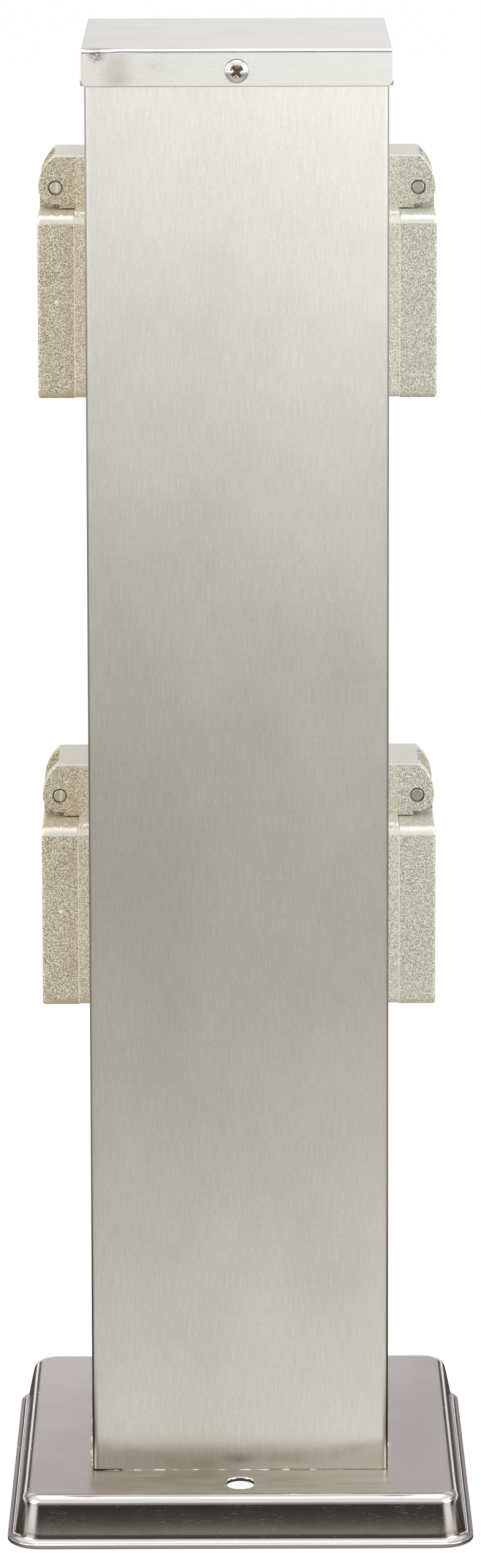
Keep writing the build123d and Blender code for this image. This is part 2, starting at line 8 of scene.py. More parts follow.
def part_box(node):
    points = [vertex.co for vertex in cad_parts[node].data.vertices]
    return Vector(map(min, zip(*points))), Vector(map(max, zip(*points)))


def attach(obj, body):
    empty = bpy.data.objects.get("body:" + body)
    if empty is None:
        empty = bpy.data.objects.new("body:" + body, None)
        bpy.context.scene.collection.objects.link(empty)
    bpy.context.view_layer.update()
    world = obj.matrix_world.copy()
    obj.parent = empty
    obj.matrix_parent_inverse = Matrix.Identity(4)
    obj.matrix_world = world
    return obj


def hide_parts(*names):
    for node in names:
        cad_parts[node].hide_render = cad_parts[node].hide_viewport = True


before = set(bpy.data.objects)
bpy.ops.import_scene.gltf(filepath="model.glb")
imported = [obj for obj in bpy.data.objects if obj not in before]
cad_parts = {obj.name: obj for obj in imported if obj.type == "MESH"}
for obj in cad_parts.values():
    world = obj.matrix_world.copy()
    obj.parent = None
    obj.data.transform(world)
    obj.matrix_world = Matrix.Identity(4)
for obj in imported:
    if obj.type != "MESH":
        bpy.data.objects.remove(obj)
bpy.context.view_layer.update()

mm = 0.001


def box_mm(node):
    """The lowest and the highest corner of a construction node, in millimetres."""
    low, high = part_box(node)
    return np.array(low) / mm, np.array(high) / mm


def make_piece(name, points, faces, finish, body, smooth=True):
    """A mesh object at the origin from points in millimetres, riding on a body. Smooth is one
    flag, or one for each face."""
    mesh = bpy.data.meshes.new(name)
    mesh.from_pydata((np.asarray(points, float) * mm).tolist(), [], [list(face) for face in faces])
    mesh.polygons.foreach_set("use_smooth", np.broadcast_to(smooth, len(mesh.polygons)).tolist())
    mesh.materials.append(finish)
    mesh.update()
    piece = bpy.data.objects.new(name, mesh)
    bpy.context.scene.collection.objects.link(piece)
    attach(piece, body)
    return piece


def grid_faces(rows, columns, closed=False):
    """Quads of a grid stored row by row; closed joins the last column to the first."""
    row = np.arange(rows - 1)[:, None] * columns
    column = np.arange(columns if closed else columns - 1)[None, :]
    after = (column + 1) % columns
    quads = np.stack([row + column, row + after, row + columns + after, row + columns + column], -1)
    return quads.reshape(-1, 4)


class Field:
    """A node's output. Sums, products and powers of fields add Math nodes to the same tree."""

    def __init__(self, tree, socket=None):
        self.tree, self.socket = tree, socket

    def node(self, kind, settings=None, places=None, out=None, **values):
        """A new node: its settings are set first, then its sockets, by place or by name. The
        result is its first output in use, or the one whose name is given."""
        made = self.tree.nodes.new(kind)
        settings = dict(settings or {})
        stops = settings.pop("stops", ())
        for key, value in settings.items():
            setattr(made, key, value)
        for place, (position, colour) in enumerate(stops):
            ramp = made.color_ramp.elements
            stop = ramp[place] if place < 2 else ramp.new(position)
            stop.position, stop.color = position, (*colour, 1)
        sockets = [s for s in made.inputs if s.enabled]
        named = {s.name: s for s in reversed(sockets)}
        chosen = [(sockets[place], value) for place, value in (places or {}).items()]
        chosen += [(named[key.replace("_", " ")], value) for key, value in values.items()]
        for socket, value in chosen:
            if isinstance(value, Field):
                self.tree.links.new(value.socket, socket)
            else:
                socket.default_value = value
        outputs = [s for s in made.outputs if s.enabled and out in (None, s.name)]
        return Field(self.tree, outputs[0])

    def math(self, operation, *others):
        """A Math node on this field and others."""
        return self.node("ShaderNodeMath", {"operation": operation}, dict(enumerate((self, *others))))

    def __add__(self, other):
        return self.math("ADD", other)

    def __mul__(self, other):
        return self.math("MULTIPLY", other)

    def __sub__(self, other):
        return self.math("SUBTRACT", other)

    def __rsub__(self, other):
        return self * -1 + other

    def __truediv__(self, other):
        return self.math("DIVIDE", other)

    def __pow__(self, other):
        return self.math("POWER", other)

    def __abs__(self):
        return self.math("ABSOLUTE")

    __radd__, __rmul__ = __add__, __mul__

    def parts(self):
        """The three parts of a vector field."""
        return [self.node("ShaderNodeSeparateXYZ", None, {0: self}, axis) for axis in "XYZ"]

    def distance(self, point):
        """How far the place is from a point."""
        return self.node("ShaderNodeVectorMath", {"operation": "DISTANCE"}, {0: self, 1: point})

    def noise(self, grain, detail=2.0):
        """Noise from 0 to 1. Its grain is in millimetres, one number or one for each axis."""
        scale = [1 / (size * mm) for size in np.broadcast_to(grain, 3).tolist()]
        where = self.node("ShaderNodeVectorMath", {"operation": "MULTIPLY"}, {0: self, 1: scale})
        return self.node("ShaderNodeTexNoise", Vector=where, Scale=1.0, Detail=detail, Roughness=0.5)

    def cells(self, scale):
        """A random number from 0 to 1 for each cell, with so many cells to the metre."""
        return self.node("ShaderNodeTexVoronoi", out="Color", Vector=self, Scale=scale).parts()[0]

    def step(self, low, high):
        """0 below low, 1 above high, and smooth between them. It falls where low is the higher."""
        return self.node("ShaderNodeMapRange", {"interpolation_type": "SMOOTHSTEP"},
            Value=self, From_Min=low, From_Max=high)

    def near(self, value, reach, core=0.0):
        """1 within the core of a value, 0 beyond the reach, and smooth between them."""
        return abs(self - value).step(reach, core)

    def blend(self, first, second):
        """The first colour where the field is 0, the second where it is 1."""
        paint = [(*c, 1.0) if isinstance(c, tuple) else c for c in (first, second)]
        return self.node("ShaderNodeMix", {"data_type": "RGBA"}, {0: self, 1: paint[0], 2: paint[1]})

    def bump(self, height):
        """A surface normal from this height field, times so many millimetres."""
        return self.node("ShaderNodeBump", Height=self, Distance=height * mm, Strength=1.0)


def start_finish(name):
    """A new material and the field of its object coordinates, in metres."""
    finish = bpy.data.materials.new(name)
    finish.use_nodes = True
    return finish, Field(finish.node_tree).node("ShaderNodeTexCoord", out="Object")


def set_finish(finish, **values):
    """Puts numbers on the shader's own sockets and links fields to them."""
    shader = finish.node_tree.nodes["Principled BSDF"]
    for key, value in values.items():
        socket = shader.inputs[key.replace("_", " ")]
        if isinstance(value, Field):
            finish.node_tree.links.new(value.socket, socket)
        else:
            socket.default_value = (*value, 1.0) if isinstance(value, tuple) else value
    return finish


base_high = box_mm("base_plate")[1]
base_sheet = 1.2
base_lip = 1.6
base_lean = 2.4
base_corner = 9.0
base_roll = 2.7
base_hollow = 1.5
lip_edge = 0.25
corner_share = 0.70  # of how far a ring is drawn in, that its corners tighten
skirt_bow = 0.10  # the skirt swells out this much at its middle
slot_spacing = 95.4
slot_width = 7.4
slot_length = 9.6
grommet_bore = 20.0
longest_run = 1.0  # a longer straight run of the profile is divided
arc_steps = 9

pressed, place = start_finish("pressed_stainless")
across, deep, up = place.parts()
haze = place.noise(9.0, 3.0)
matt = place.noise(0.12)
drawn = place.noise((2.4, 2.4, 0.10))
flat_height = base_high[2] * mm
on_top = up.step(flat_height - 0.15 * mm, flat_height - 0.02 * mm)
scratch = drawn.step(0.62, 0.80) * haze.step(0.38, 0.60) * (1 - on_top)

# The welding's heat tinted the flat in front of the column, in streaks.
before_column = abs(across).step(0.0415, 0.0395) * deep.step(-0.0620, -0.0460)
heat = before_column * (0.55 + place.noise((12.0, 5.0, 9.0)).step(0.30, 0.70) * 0.45)
streaks = (place.noise((16.0, 2.2, 9.0), 3.0) * 1.6 - 0.3 + across * 9.0).step(0.2, 1.0)
tinted = streaks.blend((0.55, 0.475, 0.35), (0.84, 0.78, 0.64))

# The front skirt is painted darker from crease to roll, a painted dark reflection that is darkest
# under the roll. Brown lines lie along the roll and the crease.
front_run = abs(across).step(0.0550, 0.0535) * deep.step(-0.0540, -0.0560)
skirt = up.step(0.0016, 0.0030) * up.step(0.0114, 0.0098) * front_run
brown_line_at_roll = deep.near(-0.0559, 0.0006, 0.0002) * haze.step(0.25, 0.55)
brown_line_in_crease = up.near(0.0031, 0.0008, 0.0001) * haze.step(0.30, 0.55)

# Painted sheen: lighter towards the back and darker towards the right, with haze in it.
painted_sheen_and_haze = deep * 8.0 + 0.5 + (haze - 0.5) * 0.6 - across.step(0.0, 0.06) * 0.7
pressed_colour = painted_sheen_and_haze.blend((0.72, 0.685, 0.68), (0.87, 0.84, 0.83))
pressed_colour = (heat * on_top * 0.90).blend(pressed_colour, tinted)
# The front skirt's painted dark reflection.
pressed_colour = (skirt * (0.35 + up * 26.0)).blend(pressed_colour, (0.30, 0.265, 0.235))
pressed_colour = (scratch * 0.5).blend(pressed_colour, (0.97, 0.95, 0.92))
brown_lines = brown_line_at_roll * 0.7 + brown_line_in_crease * 0.5
pressed_colour = brown_lines.blend(pressed_colour, (0.42, 0.28, 0.16))
set_finish(pressed, Base_Color=pressed_colour, Metallic=1.0,
    Roughness=0.12 + haze * 0.04 + on_top * (0.15 + matt * 0.08) + scratch * 0.30,
    Normal=(haze + matt * on_top * 0.15 + drawn * (1 - on_top) * 0.08).bump(0.01))


def eased_corner(before, corner, after, radius, steps):
    """Points of the arc of that radius tangent to the two lines that meet at the corner."""
    back = (before - corner) / np.linalg.norm(before - corner)
    on = (after - corner) / np.linalg.norm(after - corner)
    half = math.acos(np.clip(back @ on, -1, 1)) / 2
    middle = back + on
    centre = corner + middle / np.linalg.norm(middle) * radius / math.sin(half)
    start = corner + back * radius / math.tan(half) - centre
    end = corner + on * radius / math.tan(half) - centre
    turn = math.atan2(start[0] * end[1] - start[1] * end[0], start @ end)
    angles = np.linspace(0, turn, steps)[:, None]
    side = np.array([-start[1], start[0]])
    return centre + start * np.cos(angles) + side * np.sin(angles)


def eased_line(corners, radii, longest):
    """A line round its inner corners, each an arc of its radius. Long runs are divided."""
    arcs = [eased_corner(*corners[k:k + 3], radius, arc_steps) for k, radius in enumerate(radii)]
    line = np.vstack(arcs)
    steps = np.ceil(np.linalg.norm(np.diff(line, axis=0), axis=1) / longest).astype(int)
    parts = [np.linspace(start, end, n, endpoint=False) for start, end, n in zip(line, line[1:], steps)]
    return np.vstack(parts + [line[-1:]])


def press_profile(height):
    """How far in from the lip's edge and how high, round the whole sheet: from the flat's
    underside down inside the skirt, round the lip and up the outside to the flat. The skirt
    swells by a half sine."""
    slope = base_lean / (height - base_sheet)
    wall = base_sheet * math.hypot(1, slope)
    foot, top = base_lip + slope * base_sheet, base_lip + slope * height
    under = height - base_sheet
    corners = np.array([(height, under), (top - slope * base_sheet + wall, under), (base_lip + wall, 0),
        (0, 0), (0, base_sheet), (foot, base_sheet), (top, height), (height, height)], float)
    radii = (base_roll - base_sheet, base_hollow + base_sheet, lip_edge, lip_edge, base_hollow, base_roll)
    line = eased_line(corners, radii, longest_run)
    rise = np.clip((line[:, 1] - base_sheet) / (height - base_sheet), 0, 1)
    line[:, 0] -= skirt_bow * np.sin(math.pi * rise)
    return line


def rounded_square(half, corner, inset, side_steps=10, corner_steps=12):
    """A rounded square drawn in by an inset, its corner arcs a share of that tighter."""
    radius = corner - corner_share * inset
    turns = np.linspace(0, math.pi / 2, corner_steps)
    arc = half - inset - radius + radius * np.stack([np.cos(turns), np.sin(turns)], -1)
    run = np.linspace(arc[-1], arc[-1] * [-1, 1], side_steps + 1)[1:-1]
    quarter = np.vstack([arc, run])
    turn_left = np.array([[0.0, 1.0], [-1.0, 0.0]])
    return np.vstack([quarter @ np.linalg.matrix_power(turn_left, k) for k in range(4)])


def slot_outline(y, width, length, steps=16):
    """A slot along y: two half circles joined by straight sides."""
    turns = np.linspace(0, 2 * math.pi, 2 * steps, endpoint=False)
    rise = np.where(turns < math.pi, 1, -1) * (length - width) / 2
    return np.stack([width / 2 * np.cos(turns), y + rise + width / 2 * np.sin(turns)], -1)


def base_press():
    """The profile carried round a rounded square, both flats filled round their holes, and a
    wall in each hole."""
    profile = press_profile(base_high[2])
    rings = [rounded_square(base_high[0], base_corner, inset) for inset, _ in profile]
    count = len(rings[0])
    sheet = np.concatenate([np.c_[ring, np.full(count, z)] for ring, (_, z) in zip(rings, profile)])
    holes = [slot_outline(y, slot_width, slot_length) for y in (-slot_spacing / 2, slot_spacing / 2)]
    holes.append(slot_outline(0.0, grommet_bore, grommet_bore, 24))
    outlines = [rings[-1]] + holes
    fill = np.array(tessellate_polygon([[Vector((x, y, 0)) for x, y in outline] for outline in outlines]))
    flat = np.vstack(outlines)
    a, b, c = (flat[fill[:, k]] for k in range(3))
    turned = np.cross(b - a, c - a) < 0
    fill[turned] = fill[turned][:, ::-1]
    edges = flat[count:]
    lower, upper = (np.c_[edges, np.full(len(edges), z)] for z in (profile[0, 1], base_high[2]))
    last, first_low = len(sheet) - count, len(sheet)
    first_up = first_low + len(edges)
    top_fill = np.where(fill < count, fill + last, fill - count + first_up)
    low_fill = np.where(fill < count, fill, fill - count + first_low)[:, ::-1]
    faces = [grid_faces(len(profile), count, closed=True)]
    start = 0
    for hole in holes:
        here = start + np.arange(len(hole))
        after = start + (np.arange(len(hole)) + 1) % len(hole)
        faces.append(np.stack([first_low + here, first_up + here, first_up + after, first_low + after], -1))
        start += len(hole)
    faces = [list(face) for group in faces + [top_fill, low_fill] for face in group]
    smooth = np.arange(len(faces)) < len(faces) - 2 * len(fill)
    points = np.vstack([sheet, lower, upper])
    piece = make_piece("base_press", points, faces, pressed, "post", smooth)
    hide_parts("base_plate")


base_press()

# Cable grommet
# A black rubber ring pressed into the base's round hole, where the mains cable would come up.
# The gaskets behind the socket flanges and the seals in the lids are of the same rubber.


def dress(finish, *names):
    """Gives construction nodes a finish. A name without its socket stands for all four."""
    for node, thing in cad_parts.items():
        if node in names or node.startswith(("upper", "lower")) and node.split("_", 2)[2] in names:
            thing.data.materials.clear()
            thing.data.materials.append(finish)


rubber, place = start_finish("seal_rubber")
bloom = place.noise(2.0, 3.0)
rubber_colour = bloom.blend((0.018, 0.018, 0.018), (0.045, 0.044, 0.042))
set_finish(rubber, Base_Color=rubber_colour, Roughness=0.55 + bloom * 0.2,
    Normal=place.noise(0.2).bump(0.02))
dress(rubber, "cable_grommet", "gasket", "lid_seal")

# Terminal bracket, earth stud and their fasteners
# Zinc-plated sheet and turned parts, riveted or screwed to the base inside the column. The
# nuts behind the cap screws are plated the same way.

zinc, place = start_finish("zinc_steel")
crystals = place.cells(700.0)
cloud = place.noise(4.0)
zinc_colour = (crystals * 0.5 + cloud * 0.5).blend((0.50, 0.51, 0.52), (0.68, 0.69, 0.68))
set_finish(zinc, Base_Color=zinc_colour, Metallic=1.0, Roughness=0.30 + crystals * 0.15,
    Normal=cloud.bump(0.02))
dress(zinc, "terminal_bracket", "bracket_rivets", "terminal_screws", "block_screws", "earth_stud",
    "earth_nuts", "cap_nuts")

# Terminal block
# A moulded three-pole block with brass clamp tubes, on the bracket's bridge. The sockets'
# contacts and the earth lug are brass as well.

moulded, place = start_finish("block_plastic")
flow = place.noise(6.0, 3.0)
block_colour = flow.blend((0.76, 0.74, 0.67), (0.84, 0.82, 0.76))
set_finish(moulded, Base_Color=block_colour, Roughness=0.42 + flow * 0.1,
    Normal=place.noise(0.15).bump(0.006))
dress(moulded, "terminal_block")

brass, place = start_finish("brass")
tarnish = place.noise(1.6, 4.0)
lathe = place.noise((0.10, 1.5, 1.5), 1.0)
brass_colour = tarnish.step(0.35, 0.75).blend((0.80, 0.60, 0.27), (0.58, 0.40, 0.17))
set_finish(brass, Base_Color=brass_colour, Metallic=1.0, Roughness=0.22 + tarnish * 0.2,
    Normal=lathe.bump(0.006))
dress(brass, "terminal_clamps", "contacts", "earth_lug")

# Wires
# Stranded copper in coloured plastic: brown is live, blue is neutral, green and yellow is earth.

stripe_rate = 2400.0  # radians to the metre, which makes a stripe every 2.6 mm


def insulation(name, first, second):
    """Glossy plastic in two colours that take turns from front to back by a sine. The brown
    and the blue are each two shades of one colour."""
    finish, place = start_finish(name)
    stripe = (place.parts()[1] * stripe_rate).math("SINE").step(-0.2, 0.2)
    scuff = place.noise(1.2, 3.0)
    return set_finish(finish, Base_Color=stripe.blend(first, second), Roughness=0.28 + scuff * 0.15,
        Normal=scuff.bump(0.01))


dress(insulation("brown_insulation", (0.13, 0.055, 0.025), (0.15, 0.065, 0.03)), "live_wires")
dress(insulation("blue_insulation", (0.02, 0.09, 0.38), (0.025, 0.10, 0.42)), "neutral_wires")
dress(insulation("green_yellow_insulation", (0.05, 0.30, 0.06), (0.75, 0.66, 0.03)), "earth_wires")

# Column
# Stainless sheet folded to a square tube with tight bends, brushed up and down, with fine bright
# specks all over. Its foot is welded to the base from inside, which left a heat tint above it.

brushed, place = start_finish("brushed_stainless")
across, deep, up = place.parts()
fine = place.noise((0.15, 0.15, 1.3), 3.0)
long = place.noise((0.5, 0.5, 7.0), 3.0)
cloud = place.noise((24.0, 24.0, 40.0))
specks = place.noise((0.25, 0.25, 0.9), 1.0).step(0.68, 0.80)
# The grain is lighter towards the right, a painted sheen.
grain = (fine * 0.42 + long * 0.30 + cloud * 0.28 + across * 2.4).step(0.15, 0.85)

# The tint is a band over the foot, lowest in the middle.
arch = 0.0154 + (across * across) * 2.9 + (cloud - 0.5) * 0.008
tint = up.near(arch, 0.0030) * place.noise(9.0).step(0.35, 0.65)

# Painted shade: dark lines down the front bends, more so low down, a painted shadow along the
# joint at the foot's right, and a near-black painted shadow in an open gap at its left.
bend = abs(across) * deep.step(-0.0345, -0.0355)
edge = bend.step(0.0380, 0.0392) * up.step(0.046, 0.018) + bend.step(0.0393, 0.0397)
joint_shadow = up.step(0.01335, 0.01315) * (across + cloud * 0.02).step(0.004, 0.018)
gap = up.step(0.01340, 0.01325) * across.step(-0.0315, -0.0325)

brushed_colour = grain.blend((0.68, 0.675, 0.635), (0.985, 0.985, 0.965))
brushed_colour = (specks * 0.30).blend(brushed_colour, (0.96, 0.955, 0.93))
brushed_colour = (tint * 0.38).blend(brushed_colour, (0.60, 0.55, 0.43))
brushed_colour = (edge * 0.7 + joint_shadow * 0.6).blend(brushed_colour, (0.20, 0.17, 0.13))
brushed_colour = gap.blend(brushed_colour, (0.015, 0.012, 0.010))
set_finish(brushed, Base_Color=brushed_colour, Metallic=1.0, Anisotropic=0.75,
    Roughness=0.26 + fine * 0.07 + cloud * 0.04,
    Normal=(fine * 0.8 + long * 0.2).bump(0.005))
dress(brushed, "column")

weld, place = start_finish("weld")
ripple = place.noise(0.8, 3.0)
set_finish(weld, Base_Color=ripple.blend((0.28, 0.25, 0.23), (0.52, 0.49, 0.45)), Metallic=0.8,
    Roughness=0.45 + ripple * 0.2, Normal=ripple.bump(0.15))
dress(weld, "foot_welds")

# Weld residue and back seam
# Pale crumbs of the weld in the corner between foot and base, most of them at the left, and the
# tube's own long weld up the middle of its back.

(left, front, foot), (right, back, column_top) = box_mm("column")
bead_steps = 120
seam_half_width = 1.1
seam_height = 0.10
seam_root = 0.05  # how far it reaches into the wall
seam_short = 0.3  # how far it ends from either end of the tube
seam_steps = 160


def bead(start, end, outward, width, height, seed, cover):
    """A rough bead in a corner: a quarter ellipse carried from start to end. Its size runs
    between random knots, is roughened at each step, and falls to almost nothing in places."""
    random = np.random.default_rng(seed)
    along = np.linspace(0, 1, bead_steps)
    knots = random.uniform(0, 1, bead_steps // 3)
    size = np.interp(along, np.linspace(0, 1, len(knots)), knots) + random.uniform(-0.12, 0.12, bead_steps)
    ends = np.minimum(1, 12 * np.minimum(along, 1 - along) + 0.03)
    size = (np.clip((size - 1 + cover) / cover, 0.03, 1) * ends)[:, None, None]
    turns = np.linspace(0, math.pi / 2, 6)
    section = np.stack([np.cos(turns) * width, np.sin(turns) * height], -1)
    section = np.vstack([section, [[0, 0]]])[::-1]
    line = np.asarray(start) + along[:, None] * (np.asarray(end) - start)
    sideways, upwards = section[None, :, :1] * np.asarray(outward), section[None, :, 1:] * [0, 0, 1.0]
    return line[:, None, :] + size * (sideways + upwards)


def closed_tube(name, rings, finish, body):
    """A piece from rings of points: neighbours are joined, and both ends are capped."""
    rows, ring = rings.shape[:2]
    faces = grid_faces(rows, ring, closed=True).tolist()
    faces += [list(range(ring))[::-1], list(range((rows - 1) * ring, rows * ring))]
    return make_piece(name, rings.reshape(-1, 3), faces, finish, body)


def back_seam():
    """The tube's long weld, ground down to a low arch whose edges wander by two sines."""
    z = np.linspace(foot + seam_short, column_top - seam_short, seam_steps)[:, None]
    side = np.linspace(-1, 1, 7)[None, :]
    wander = 0.12 * np.sin(z * 0.9) + 0.08 * np.sin(z * 2.3 + 1.0)
    x = -side * (seam_half_width + wander)
    y = back + seam_height * np.sqrt(1 - side ** 2)
    outer = np.stack(np.broadcast_arrays(x, y, z), -1)
    inner = np.stack(np.broadcast_arrays(x[:, ::-1] * 0.96, back - seam_root, z), -1)
    return np.concatenate([outer, inner[:, 1:-1]], 1)


residue, place = start_finish("foot_residue")
crumb = place.noise(0.5, 3.0)
residue_colour = crumb.blend((0.62, 0.60, 0.57), (0.90, 0.89, 0.87))
set_finish(residue, Base_Color=residue_colour, Roughness=0.5 + crumb * 0.3, Normal=crumb.bump(0.1))
for side, start, end, outward, width, height, seed, cover in (
    ("left", (left, back - 3, foot), (left, front + 2, foot), (-1, 0, 0), 1.3, 1.6, 11, 0.75),
    ("right", (right, front + 4, foot), (right, back - 8, foot), (1, 0, 0), 0.9, 1.2, 12, 0.45),
    ("front", (left + 3, front, foot), (right - 8, front, foot), (0, -1, 0), 0.3, 0.25, 13, 0.45),
    ("back", (right - 6, back, foot), (left + 6, back, foot), (0, 1, 0), 0.4, 0.6, 14, 0.5),
):
    rings = bead(start, end, outward, width, height, seed, cover)
    closed_tube(f"foot_residue_{side}", rings, residue, "post")
closed_tube("column_seam", back_seam(), brushed, "post")

# Socket frames and lids
# One moulding for flange, cup and hinge ears and one for the lid, both lacquered silver with a
# fine metal flake. On the lacquer are painted a warm cast on the left sockets, shade along the
# lids' lower edges, highlights under the flanges' upper edges and a reflection on the roofs. A
# patchy brown band runs beside the left flanges' outer edge.

fillet_drop = 15.8 * mm  # below the frame's top, just under the flange's upper edge
lid_foot_drop = 62.9 * mm  # below the frame's top, just above the lid's lower edge

lacquer, place = start_finish("silver_plastic")
across, deep, up = place.parts()
flake = place.cells(6400.0)
patch = place.noise(5.0)
orange = place.noise(0.8, 1.0)
frame_tops = [box_mm(f"{level}_left_frame")[1][2] * mm for level in ("upper", "lower")]
roof = sum(up.near(top, 0.0006, 0.0003) for top in frame_tops)
fillet = sum(up.near(top - fillet_drop, 0.0013, 0.0006) for top in frame_tops)
under = sum(up.near(top - lid_foot_drop, 0.0016, 0.0004) for top in frame_tops)
flange = abs(across).step(0.0434, 0.0431)
on_left = across.step(0.01, -0.01)
brown_band = across.near(-0.0447, 0.0022) * patch.step(0.30, 0.62)

# The left sockets' flakes are warmer and browner: a painted warm cast.
dark_flake = on_left.blend((0.29, 0.28, 0.215), (0.23, 0.185, 0.11))
bright_flake = on_left.blend((0.92, 0.905, 0.80), (1.0, 0.93, 0.77))
lacquer_colour = flake.step(0.10, 0.85).blend(dark_flake, bright_flake)
lacquer_colour = flake.step(0.80, 0.97).blend(lacquer_colour, (1.0, 0.99, 0.94))
# Brown: a patchy band beside the left flanges, painted shade along each lid's lower edge, deeper on the left,
# and painted warm patches on the left sockets.
brown_and_painted_shade = brown_band * 0.40 + under * (on_left * 0.35 + 0.20) + (patch - 0.5) * on_left * 0.4
lacquer_colour = brown_and_painted_shade.blend(lacquer_colour, (0.56, 0.43, 0.27))
# Painted highlights: a pale line just under each flange's upper edge, and the flange strip a little lighter.
edge_highlight = (fillet * 0.80).math("MAXIMUM", flange * 0.15)
lacquer_colour = edge_highlight.blend(lacquer_colour, (0.98, 0.975, 0.92))
# The roofs are painted a plain grey reflection over the flake, lighter on the left.
roof_reflection = (across * 6.0 + 0.5).blend((0.75, 0.74, 0.71), (0.66, 0.655, 0.635))
lacquer_colour = (roof * 0.85).blend(lacquer_colour, roof_reflection)
set_finish(lacquer, Base_Color=lacquer_colour, Metallic=0.30, Roughness=0.38 + patch * 0.08,
    Normal=(orange * 0.6 + flake * 0.4).bump(0.012))
dress(lacquer, "frame", "lid")

# Contact carriers and earth clips
# A grey moulding behind each flange holds the brass contacts, and a clip of spring steel earths
# the plug.

carrier, place = start_finish("carrier_plastic")
matt = place.noise(0.3, 3.0)
carrier_colour = matt.blend((0.38, 0.37, 0.34), (0.46, 0.45, 0.41))
set_finish(carrier, Base_Color=carrier_colour, Roughness=0.5 + matt * 0.1, Normal=matt.bump(0.01))
dress(carrier, "insert")

sprung, place = start_finish("spring_steel")
oil = place.noise(1.5, 3.0)
spring_colour = oil.blend((0.42, 0.41, 0.40), (0.58, 0.58, 0.57))
set_finish(sprung, Base_Color=spring_colour, Metallic=1.0, Roughness=0.22 + oil * 0.18,
    Normal=oil.bump(0.01))
dress(sprung, "earth_clip", "hinge_spring")

# Flange screws
# Small plated screws, four to a flange, under the closed lid. The cap screws share their
# plating, which carries painted shade down in the cap screws' recess and round the rim of their heads.

head_radius = 3.2
head_height = 2.3
head_fall = 75.0  # to the metre, the dome's fall with the square of the distance from its axis
cap_low, cap_high = box_mm("cap")
cap_screws_low, cap_screws_high = box_mm("cap_screws")
cap_middle = (cap_low + cap_high) / 2
cap_screws_middle = (cap_screws_low + cap_screws_high) / 2

plated, place = start_finish("screw_steel")
wear = place.noise(0.5, 4.0)
across, deep, up = place.parts()
off_axis = (across * across + (up - cap_screws_middle[2] * mm) ** 2.0) ** 0.5
above_skirt = abs(deep - cap_middle[1] * mm) - (cap_high[1] - cap_middle[1]) * mm
dome = head_height * mm - off_axis * off_axis * head_fall
# Painted shade in the cross recess and round the head's rim.
sunk = (dome - above_skirt).step(0.00012, 0.0005) * off_axis.step(0.0021, 0.0019)
head_rim_shade = off_axis.step(0.0028, 0.0031) * off_axis.step(0.0036, 0.0034)
plated_colour = wear.blend((0.74, 0.74, 0.74), (0.88, 0.87, 0.86))
plated_colour = sunk.blend(plated_colour, (0.22, 0.16, 0.11))
plated_colour = (head_rim_shade * 0.6).blend(plated_colour, (0.30, 0.28, 0.26))
set_finish(plated, Base_Color=plated_colour, Metallic=1.0, Roughness=0.10 + wear * 0.14 + sunk * 0.2,
    Normal=wear.bump(0.008))
dress(plated, "flange_screws", "cap_screws")

# Hinge pins
# Turned steel pins pressed into the ears. Their warm colour is a painted reflection, lighter on
# the left ones, and a painted highlight runs as one bright line along the left ones.

satin_pin, place = start_finish("hinge_pin")
across = place.parts()[0]
turned = place.noise((0.3, 4.0, 0.3))
pin_highlight = across.near(-0.0481, 0.0005, 0.0002)
pin_colour = (across * 20.0 + 0.5).step(0.0, 1.0).blend((0.80, 0.765, 0.66), (0.50, 0.48, 0.43))
pin_colour = turned.blend(pin_colour, (0.66, 0.63, 0.56))
pin_colour = pin_highlight.blend(pin_colour, (1.0, 0.99, 0.96))
set_finish(satin_pin, Base_Color=pin_colour, Metallic=1.0, Roughness=0.32 + turned * 0.1,
    Normal=turned.bump(0.006))
dress(satin_pin, "hinge_pin")

# Hinge springs
# A torsion spring of round wire on each pin. Its coil and one leg stay with the frame, and the
# other leg rides with the lid and turns about the same pin.

sockets = {"upper_left": -1, "upper_right": 1, "lower_left": -1, "lower_right": 1}  # which way out
spring_wire = 0.7
spring_turns = 6.0
spring_play = 0.15
turn_steps = 24
leg_steps = 6
leg_clear = 0.05  # how far each leg ends inside the construction spring's box
leg_start = 0.6  # how far above the pin's middle the lid's leg begins


def tube_along(path, radius, sides=10):
    """Rings of a round tube: the path's direction is differenced, and a fixed side vector is
    carried along it, squared up at each point, so the tube doesn't twist."""
    along = np.gradient(path, axis=0)
    along /= np.linalg.norm(along, axis=1)[:, None]
    side = np.empty_like(along)
    side[0] = np.cross(along[0], [0.31, 0.87, 0.38])
    for k in range(len(path)):
        carried = side[max(k - 1, 0)]
        carried = carried - along[k] * (carried @ along[k])
        side[k] = carried / np.linalg.norm(carried)
    other = np.cross(along, side)
    turns = np.linspace(0, 2 * math.pi, sides, endpoint=False)[None, :, None]
    return path[:, None, :] + radius * (np.cos(turns) * side[:, None, :] + np.sin(turns) * other[:, None, :])


